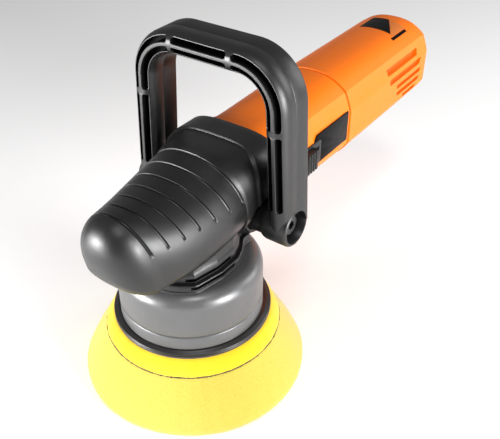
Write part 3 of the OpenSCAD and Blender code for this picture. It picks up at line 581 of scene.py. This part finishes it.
def station(s):
    """Point on the handle's outer outline and the direction to its inside."""
    on_left = s > TOTAL / 2
    t = TOTAL - s if on_left else s
    a = LEG_LEAN
    if t < LEG:
        below = LEG - t
        p = (CORNER_X + R_OUT * math.cos(a) + below * math.sin(a),
             CORNER_Z + R_OUT * math.sin(a) - below * math.cos(a))
    elif t < LEG + BEND:
        a += (t - LEG) / R_OUT
        p = (CORNER_X + R_OUT * math.cos(a), CORNER_Z + R_OUT * math.sin(a))
    else:
        a = math.pi / 2
        p = (CORNER_X - (t - LEG - BEND), TOP)
    n = (-math.cos(a), -math.sin(a))
    return ((-p[0], p[1]), (-n[0], n[1])) if on_left else (p, n)


def up_leg(z, left=False):
    """Distance along the outline to a height on a leg."""
    s = (z - BOLT_Z) / math.cos(LEG_LEAN)
    return TOTAL - s if left else s


def on_top(x):
    """Distance along the outline to a place on the straight top."""
    return LEG + BEND + (CORNER_X - x)


def offset_of(p):
    """How far inside the handle's outer outline a point lies, in millimetres."""
    x, z = abs(p.x) / MM - CORNER_X, p.z / MM - CORNER_Z
    if x < 0 < z:
        return R_OUT - z
    if z > 0 and math.atan2(z, x) > LEG_LEAN:
        return R_OUT - math.hypot(x, z)
    return R_OUT - (x * math.cos(LEG_LEAN) + z * math.sin(LEG_LEAN))


# the stretches where the front's two rows of slots are open; ribs stand between them
SLOTS = [(up_leg(147), up_leg(201)), (up_leg(204.5), on_top(21.8)), (on_top(18.2), on_top(-24.2)),
         (on_top(-27.8), up_leg(204.5, left=True)), (up_leg(201, left=True), up_leg(147, left=True))]
SLOT_END = 1.9                      # length of a slot's round end
HALF_Y, DOME_A, DOME_B = 14.5, 8.25, 9.0
ROW, ROW_HALF, BORDER = 3.3, 1.9, 0.45     # offset of each row of slots, half its width, its border
SLOT_DEEP = 8.0
STEP = 3.0                          # between the bow's sections


def dome(x):
    """The rounded front of the handle at an offset from its middle line."""
    return -HALF_Y + DOME_B * (1 - math.sqrt(max(0.0, 1 - (x / DOME_A) ** 2)))


def slot_row(side, k, deep):
    """The part of the section that holds one row of slots, as (offset, y)."""
    half = ROW_HALF * max(k, 0.02)
    out = []
    for e in (-1, 1):
        wall = side * ROW + e * half
        rim = side * ROW + e * (half + BORDER)
        edge = [(rim, dome(rim)), (wall, dome(wall) + (0.4 if deep else 0.0)),
                (wall, -HALF_Y + 1 + SLOT_DEEP if deep else dome(wall))]
        out += edge if e < 0 else edge[::-1]
    return out


def handle_profile(k, deep):
    """Section of the handle as (inset, y): k is how far the slots are open, 0 to 1."""
    ends = [8.25, 8.12, 7.75, 7.15, 6.5, 5.95]
    front = [(-x, dome(x)) for x in ends] + slot_row(-1, k, deep) + [(0, dome(0))] + slot_row(1, k, deep)
    front += [(x, dome(x)) for x in reversed(ends)]
    pts = [(DOME_A + x, y) for x, y in front]
    pts += [(THICK, -0.35), (THICK - 0.2, 0.0), (THICK, 0.35)]
    pts += arc(THICK - 2.0, HALF_Y - 2.0, 2.0, 0, 90, 5) + arc(1.6, HALF_Y - 1.6, 1.6, 90, 180, 5)
    return pts + [(0.0, 0.35), (0.2, 0.0), (0.0, -0.35)]


def bow_plan():
    """Where the bow has a section: (distance, how far its slots are open, whether they are cut)."""
    plan = []
    for s in [STEP * k for k in range(math.ceil(TOTAL / STEP))] + [TOTAL]:
        if all(abs(s - e) >= 3.2 for ab in SLOTS for e in ab):
            inside = any(a < s < b for a, b in SLOTS)
            plan.append((s, 1.0 if inside else 0.0, inside))
    for a, b in SLOTS:
        for e, d in ((a, 1), (b, -1)):
            plan += [(e - d * 0.6, 0.0, False), (e, 0.0, False)]
            for f in (0.04, 0.2, 0.5, 0.9, 1.4, SLOT_END):
                k = math.sqrt(max(0.0, 1 - (1 - f / SLOT_END) ** 2))
                plan.append((e + d * f, max(k, 0.2), True))
            plan.append((e + d * 2.6, 1.0, True))
    return sorted(plan, key=lambda q: q[0])


def handle_bow():
    rings = []
    for s, k, deep in bow_plan():
        (x, z), (inward_x, inward_z) = station(s)
        rings.append([(x + inward_x * u, BOLT_Y + v, z + inward_z * u) for u, v in handle_profile(k, deep)])
    bow = build("handle_bow", *loft(rings), sharp=38)

    def in_slot(face):
        y = face.center.y / MM - BOLT_Y
        floor = face.normal.y < -0.9 and y > -7.2
        wall = abs(face.normal.y) < 0.5 and abs(offset_of(face.center) - DOME_A) < ROW + ROW_HALF + 0.15
        return -13.6 < y < -4.5 and (floor or wall)

    # the slots' walls and floors take the darker black, which paints shade into them
    paint_recess_shade(bow, BLACK, SLOT_SHADE, in_slot)
    cut(bow, mirrored_rods(11.8, 50, 90), sharp=38)
    return bow


# round boss at each end of the bow, as (radius, distance from the middle), with a recess for the bolt
BOSS = [(0.0, 28.5), (11.6, 28.5), (12.2, 29.1), (12.2, 41.5), (12.6, 43.2), (13.6, 44.6), (14.2, 46.0),
        (14.5, 48.0), (14.5, 62.2), (14.2, 63.4), (13.5, 64.2), (12.6, 64.55), (12.1, 64.4), (11.8, 63.9),
        (11.8, 50.2), (11.6, 50.0), (0.0, 50.0)]
bosses = [lathe("boss", [(r, side * x) for r, x in BOSS], (0, BOLT_Y, BOLT_Z), "x", 120, sharp=30)
          for side in (-1, 1)]
piece(join("handle", [handle_bow()] + bosses, sharp=36), None, "handle", ["d_handle"])

# ---------------------------------------------------------------- motor and rear body

CREASE = 40.0                       # angle of the body's upper edge, seen from its axis
TURN = 20                           # steps in each curve of the section
REAR_Y = 312.0
END_LENGTH, END_INSET = 14.4, 15.8  # the rear end's rounding, along the axis and across it
END_WALL = 2.8
INLET_R = 5.4                       # radius of the cord inlet


def body_ring(y, half, tall, corner, grow=0.0):
    """Section of the body: flat sides that turn up to one crisp edge, and a smooth round top."""
    half, tall, corner = half + grow, tall + grow, corner + grow
    low_a = math.degrees(math.acos(min(1.0, half / corner)))
    top_a = math.degrees(math.asin(min(1.0, tall / corner)))
    edge = Vector((math.cos(rad(CREASE)), math.sin(rad(CREASE)))) * corner
    flat_top = Vector((half, corner * math.sin(rad(low_a)) * 0.55))
    bend = Vector((half, flat_top.y + (edge.y - flat_top.y) * 0.22))
    curve = []
    for k in range(TURN + 1):
        t = k / TURN
        curve.append(tuple(flat_top * (1 - t) ** 2 + bend * 2 * t * (1 - t) + edge * t * t))
    along = Vector((-math.sin(rad(CREASE + 13)), math.cos(rad(CREASE + 13))))
    c1, c2, crown = edge + along * corner * 0.26, Vector((corner * 0.42, tall)), Vector((0, tall))
    for k in range(1, TURN):
        t = k / TURN
        near, far = edge * (1 - t) ** 3 + c1 * 3 * t * (1 - t) ** 2, c2 * 3 * t * t * (1 - t)
        curve.append(tuple(near + far + crown * t ** 3))
    top = curve + [(0.0, tall)] + [(-x, z) for x, z in reversed(curve)]
    low = [(half, -corner * math.sin(rad(low_a)))]
    for k in range(1, TURN + 1):
        a = low_a + (top_a - low_a) * k / TURN
        low.append((corner * math.cos(rad(a)), -corner * math.sin(rad(a))))
    ring = top + [(-x, z) for x, z in low] + low[::-1]
    return [(x, y, AXIS_Z + z) for x, z in ring]


def switch_opening(x):
    """The block that the switch's stem slides in, from a distance outwards."""
    return box((x, 90, 138), (40, 110, 148))


def motor_body():
    flange, waist, spigot = (37, 34, 39), (35.5, 32, 37.5), (34.5, 34.5, 38)
    rings = [body_ring(54.05, *flange, -0.4), body_ring(54.5, *flange), body_ring(62.0, *flange),
             body_ring(62.7, 36.7, 33.6, 38.7), body_ring(63.2, 35.9, 32.6, 37.9),
             body_ring(64.2, 35.5, 32.1, 37.55), body_ring(66, *waist), body_ring(84, *waist)]
    for k in range(1, 8):
        t = k / 8
        rings.append(body_ring(84 + 67 * t, 35.5, 32 + 3.5 * t, 37.5 + 1.5 * t))
    rings += [body_ring(y, 35.5, 35.5, 39, grow)
              for y, grow in ((151, 0), (157.4, 0), (157.9, -0.25), (158.1, -0.8))]
    rings += [body_ring(158.2, *spigot), body_ring(160.5, *spigot)]
    rings += [body_ring(160.5, 32, 32, 35.5), body_ring(100, 32, 29.4, 34.4), body_ring(56, 32, 29, 34.2),
              body_ring(54.05, 32, 29, 34.2)]
    body = build("motor_body", *loft(rings, looped=True), sharp=14)
    cut(body, [switch_opening(30)], sharp=14)
    return body


piece(motor_body(), ORANGE, "machine", ["motor_housing"])

# height, width and the two ends of each side vent, and how far from the middle its floor lies
VENTS = [(158.8, 5.9, 225, 281, 31.4), (149.1, 5.9, 229, 287, 33.4), (140.6, 4.0, 244, 290, 33.6),
         (133.7, 3.8, 245, 288, 33.6), (127.6, 3.4, 258, 282, 33.0)]


def sleeve_ring(y, grow=0.0):
    return body_ring(y, 36, 36, 39.5, grow)


def bore_ring(y, grow=0.0):
    return body_ring(y, 33.2, 33.2, 36.7, grow)


def inlet_ring(outer, y):
    """The inlet's circle, with a point for each point of the ring outside it."""
    turns = [math.atan2(z - AXIS_Z, x) for x, _, z in outer]
    return [(INLET_R * math.cos(a), y, AXIS_Z + INLET_R * math.sin(a)) for a in turns]


def rear_body():
    rings = [sleeve_ring(y, grow) for y, grow in ((158.9, -0.5), (159.05, -0.1), (159.4, 0.25), (161.5, 0.3),
                                                  (163.5, 0.05), (166, 0.0))]
    rings += [sleeve_ring(y) for y in (180, 200, 225, 250, 275, 290, REAR_Y - END_LENGTH)]
    for t in (8, 16, 24, 32, 40, 48, 56, 64, 72, 80, 90):
        c, s = max(0.0, math.cos(rad(t))), math.sin(rad(t))
        rings.append(sleeve_ring(REAR_Y - END_LENGTH + END_LENGTH * s ** 0.87, -END_INSET * (1 - c ** 0.87)))
    rings += [inlet_ring(rings[-1], y) for y in (REAR_Y, REAR_Y - END_WALL)]
    rings += [bore_ring(y, grow) for y, grow in ((REAR_Y - END_WALL, -15.0), (305, -9.0), (298, -5),
                                                 (290, -4), (222, -4), (216, 0.0), (158.9, 0.0))]
    body = build("rear_body", *loft(rings, looped=True), sharp=14)
    cuts = []
    for side in (-1, 1):
        for z, h, a, b, floor in VENTS:
            outline = rounded([(a, z), (b, z), (b + 0.4 * h, z + h), (a - 0.3 * h, z + h)], 0.7, 3)
            cuts.append(prism("vent", outline, side * floor, side * 45))
    cut(body, cuts + [box((-4, 253, 90), (4, 271, 115))], sharp=14)

    def on_vent_floor(face):
        pts = corners(body, face)
        return any(all(abs(abs(p.x) - floor) < 0.02 and z - 0.1 < p.z < z + h + 0.1 for p in pts)
                   for z, h, _, _, floor in VENTS)

    # the vents' floors take the darker orange, which paints shade into them
    paint_recess_shade(body, ORANGE, VENT_SHADE, on_vent_floor)
    return body


piece(rear_body(), None, "machine", ["rear_sleeve"])

# ---------------------------------------------------------------- blank plates

plate_outline = [(104.6, 148.6), (110.4, 144.5), (110.4, 132.4), (155, 132.4), (155, 157.5), (108.5, 157.5),
                 (104.6, 155)]
side_plate = prism("side_plate", rounded(plate_outline, 1.2), 35.35, 36.1)
bevel(side_plate, 0.2)
piece(side_plate, LABEL, "machine", ["side_label"])


def top_z(x):
    """Height of the sleeve's top at a distance from its middle."""
    pts = sorted((px, pz) for px, _, pz in sleeve_ring(0) if pz > AXIS_Z + 20)
    for (x0, z0), (x1, z1) in zip(pts, pts[1:]):
        if x0 <= x <= x1 and x1 > x0:
            return z0 + (z1 - z0) * (x - x0) / (x1 - x0)
    return pts[0][1]


def film(name, x0, x1, front, rear, lift):
    """A thin blank film that follows the round top between a front and a rear edge."""
    rings = []
    for k in range(25):
        x = x0 + (x1 - x0) * k / 24
        low, high = top_z(x) - 0.3, top_z(x) + lift
        rings.append([(x, front(x), low), (x, rear(x), low), (x, rear(x), high), (x, front(x), high)])
    return build(name, *loft(rings), sharp=30)


def dark_rear(x):
    """The dark film's rear edge, which slopes forward on the right."""
    return max(263.5, min(289.5, 291 - 1.8 * (x + 0.2)))


def panel_front(x):
    return max(262.4, min(289.0, 291.8 - 1.8 * (x + 0.2)))


dark = film("top_film", -14.8, 15.2, lambda x: 263.4, dark_rear, 0.22)
bar = film("top_bar", 18.7, 21.2, lambda x: 257.5, lambda x: 284.0, 0.22)
panel = film("top_panel", -0.2, 18.2, panel_front, lambda x: 289.6 - 0.2 * (x + 0.2), 0.14)
PANEL = moulded("printed_panel", (0.62, 0.16, 0.02), 0.5, 0.05, 1600.0)
piece(join("top_plate", [dark, bar]), LABEL, "machine", ["top_label"])
piece(panel, PANEL, "machine", [])

# ---------------------------------------------------------------- slide switch

guide = prism("switch_guide_skin", rounded([(82, 133), (113, 133), (113, 153), (82, 153)], 3), 35.3, 36.7)
cut(guide, [switch_opening(34)])
bevel(guide, 0.3)
piece(guide, BLACK_FINE, "machine", ["switch_guide"])


def switch_button():
    """A ribbed thumb piece with a stem through the guide."""
    prof = [(86, 36.95), (102, 36.95), (102, 40.2), (101.2, 41.4), (99.6, 41.9)]
    for k in range(4):
        y = 98.2 - 3.4 * k
        prof += [(y, 41.9), (y - 0.5, 40.7), (y - 1.3, 40.7), (y - 1.8, 41.9)]
    prof += [(87.0, 41.7), (86.2, 40.6)]
    obj = prism("switch_button", [(x, y) for y, x in prof], 135.2, 150.8, "z")
    bevel(obj, 0.35, 50)
    stem = box((33.5, 90.3, 138.3), (37.2, 101.7, 145.8))
    return join("switch_button", [obj, stem])


piece(switch_button(), BLACK_FINE, "switch", ["slide_switch"])

# ---------------------------------------------------------------- shroud

SHROUD_R = 51.5
outside = [(SHROUD_R - 0.7, 70.9), (SHROUD_R - 0.2, 71.2), (SHROUD_R, 71.7)]
outside += [(SHROUD_R, z) for z in (76, 82, 88, 93)] + arc(SHROUD_R - 10, 93, 10, 6, 90, 16)
inside = [(36, 103), (16, 103), (16, 100)] + arc(SHROUD_R - 9, 94, 6, 90, 0, 8) + [(SHROUD_R - 3, 70.9)]
shroud = lathe("shroud_skin", outside + inside, n=256, sharp=40)
piece(shroud, GREY, "machine", ["shroud"])
BAND = [(47.9, 59.7), (50.9, 59.7), (51.3, 59.9), (51.5, 60.4), (51.5, 69.6), (51.2, 70.1), (50.6, 70.35),
        (50.4, 70.6), (48.5, 70.6), (48.5, 73.7), (46.5, 73.7), (46.5, 68.7), (47.9, 67.7)]
piece(lathe("shroud_band", BAND, n=256, sharp=40), GREY, "machine", ["shroud_ring"])

# ---------------------------------------------------------------- plate and pad

PLATE_RIM = [(20, 57), (20, 60.2), (24, 60.2), (26, 58.3), (53.6, 58.2), (54.6, 58.05), (55.2, 57.6),
             (56.4, 57.1), (57.2, 56.75), (57.5, 56.3), (57.55, 55.7), (57.2, 55.35), (56.9, 55.2),
             (57.3, 54.9), (57.55, 54.5), (57.5, 54.1), (57.0, 53.75), (8, 53.7), (8, 57)]
piece(lathe("plate_rim", PLATE_RIM, ON_PLATE, n=256, sharp=50), PLATE, "plate", ["backing_plate"])


def wobble(h, a, size, rate, seed):
    """How far a point on a soft edge stands out, in millimetres: rate is how quickly that changes."""
    return size * noise.noise(Vector((math.cos(a) * rate, math.sin(a) * rate, h * 0.05 + seed)))


UPPER_LAYER = [(9, 41.7), (64, 41.7), (64.1, 42.4), (63.7, 43.6), (62.9, 45.6), (61.8, 47.6), (60.6, 49.3),
               (59.3, 50.8), (58.0, 51.9), (56.6, 52.5), (9, 52.5)]


def upper_ripple(r, h, a):
    return (r + wobble(h, a, 0.35, 9.0, 3.0), h) if r > 50 else (r, h)


upper = lathe("pad_upper_layer", UPPER_LAYER, ON_PLATE, n=512, sharp=60, ripple=upper_ripple)
piece(upper, UPPER, "plate", ["pad_upper"])

GLUE_LINE = [(9, 41.0), (64.0, 40.95), (64.35, 41.2), (64.35, 41.6), (64.0, 41.85), (9, 41.8)]


def glue_ripple(r, h, a):
    if r < 50:
        return r, h
    fine = wobble(h, a, 0.8, 70.0, 7.0) + wobble(h, a, 0.5, 19.0, 1.0)
    lift = 0.55 * fine if h > 41.3 else -0.75 * wobble(h, a, 0.9, 60.0, 11.0)
    return r + 0.12 + 0.5 * fine, h + lift


glue = lathe("pad_glue_line", GLUE_LINE, ON_PLATE, n=720, sharp=60, ripple=glue_ripple)
piece(glue, GLUE, "plate", ["pad_glue"])

PAD_R = 83.0
CONE_LOW, CONE_HIGH = (82.7, 7.2), (64.3, 40.6)


def foam_profile():
    """A flat face with a round edge, and a cone that bulges a little."""
    pts = [(0.0, 0.0), (40, 0.0), (74, 0.0), (77.0, 0.1), (79.6, 0.7), (81.4, 1.8), (82.6, 3.4), (PAD_R, 5.2),
           CONE_LOW]
    for k in range(1, 15):
        t = k / 15
        r = CONE_LOW[0] + (CONE_HIGH[0] - CONE_LOW[0]) * t + 1.1 * math.sin(math.pi * t)
        pts.append((r, CONE_LOW[1] + (CONE_HIGH[1] - CONE_LOW[1]) * t))
    return pts + [CONE_HIGH, (63.8, 41.0), (9, 41.0), (9, 8), (0.0, 8)]


def foam_ripple(r, h, a):
    if r < 60:
        return r, h
    return min(r + wobble(h, a, 0.5, 3.0, 2.0) + wobble(h, a, 0.25, 14.0, 5.0), PAD_R), h


pad = lathe("pad_foam_cone", foam_profile(), ON_PLATE, n=512, sharp=60, ripple=foam_ripple)
piece(pad, FOAM, "plate", ["pad_foam"])

# ---------------------------------------------------------------- floor and light

FLOOR = 6                           # half its side, in metres
floor_mesh = bpy.data.meshes.new("floor")
floor_mesh.from_pydata([(-FLOOR, -FLOOR, 0), (FLOOR, -FLOOR, 0), (FLOOR, FLOOR, 0), (-FLOOR, FLOOR, 0)], [],
                       [(0, 1, 2, 3)])
floor = bpy.data.objects.new("floor", floor_mesh)
scene.collection.objects.link(floor)
pale = Nodes("pale_floor")
pale.link(pale.ramp(pale.noise(3.0, 2.0), [(0.3, (0.93, 0.93, 0.93)), (0.7, (0.95, 0.95, 0.95))]),
          pale.bsdf.inputs["Base Color"])
pale.bsdf.inputs["Roughness"].default_value = 0.9
pale.bsdf.inputs["Specular IOR Level"].default_value = 0.1
floor_mesh.materials.append(pale.mat)

world = bpy.data.worlds.new("studio")
world.use_nodes = True
world.node_tree.nodes["Background"].inputs["Color"].default_value = (1, 1, 1, 1)
world.node_tree.nodes["Background"].inputs["Strength"].default_value = 0.28
scene.world = world


def light(name, at, to, size, power, size_y=None):
    """A soft area light, in metres and watts, turned to a point."""
    data = bpy.data.lights.new(name, "AREA")
    data.energy = power
    data.size = size
    if size_y:
        data.shape = "RECTANGLE"
        data.size_y = size_y
    obj = bpy.data.objects.new(name, data)
    obj.location = at
    obj.rotation_euler = (Vector(to) - Vector(at)).to_track_quat("-Z", "Y").to_euler()
    scene.collection.objects.link(obj)
    obj.visible_camera = False


light("soft_right", (1.05, -0.05, 0.32), (0, 0.0, 0.14), 0.38, 18, 0.5)
light("soft_left_front", (-0.56, -0.95, 0.19), (0, 0, 0.12), 0.5, 16, 0.34)
light("soft_right_back", (0.85, 1.1, 0.6), (0.12, 0.2, 0.0), 0.7, 8, 0.9)
light("soft_low_left", (-0.34, -0.50, 0.17), (-0.02, -0.06, 0.13), 0.3, 3.3, 0.26)
light("soft_above", (0.5, -0.5, 1.9), (0, 0.1, 0), 0.5, 8)
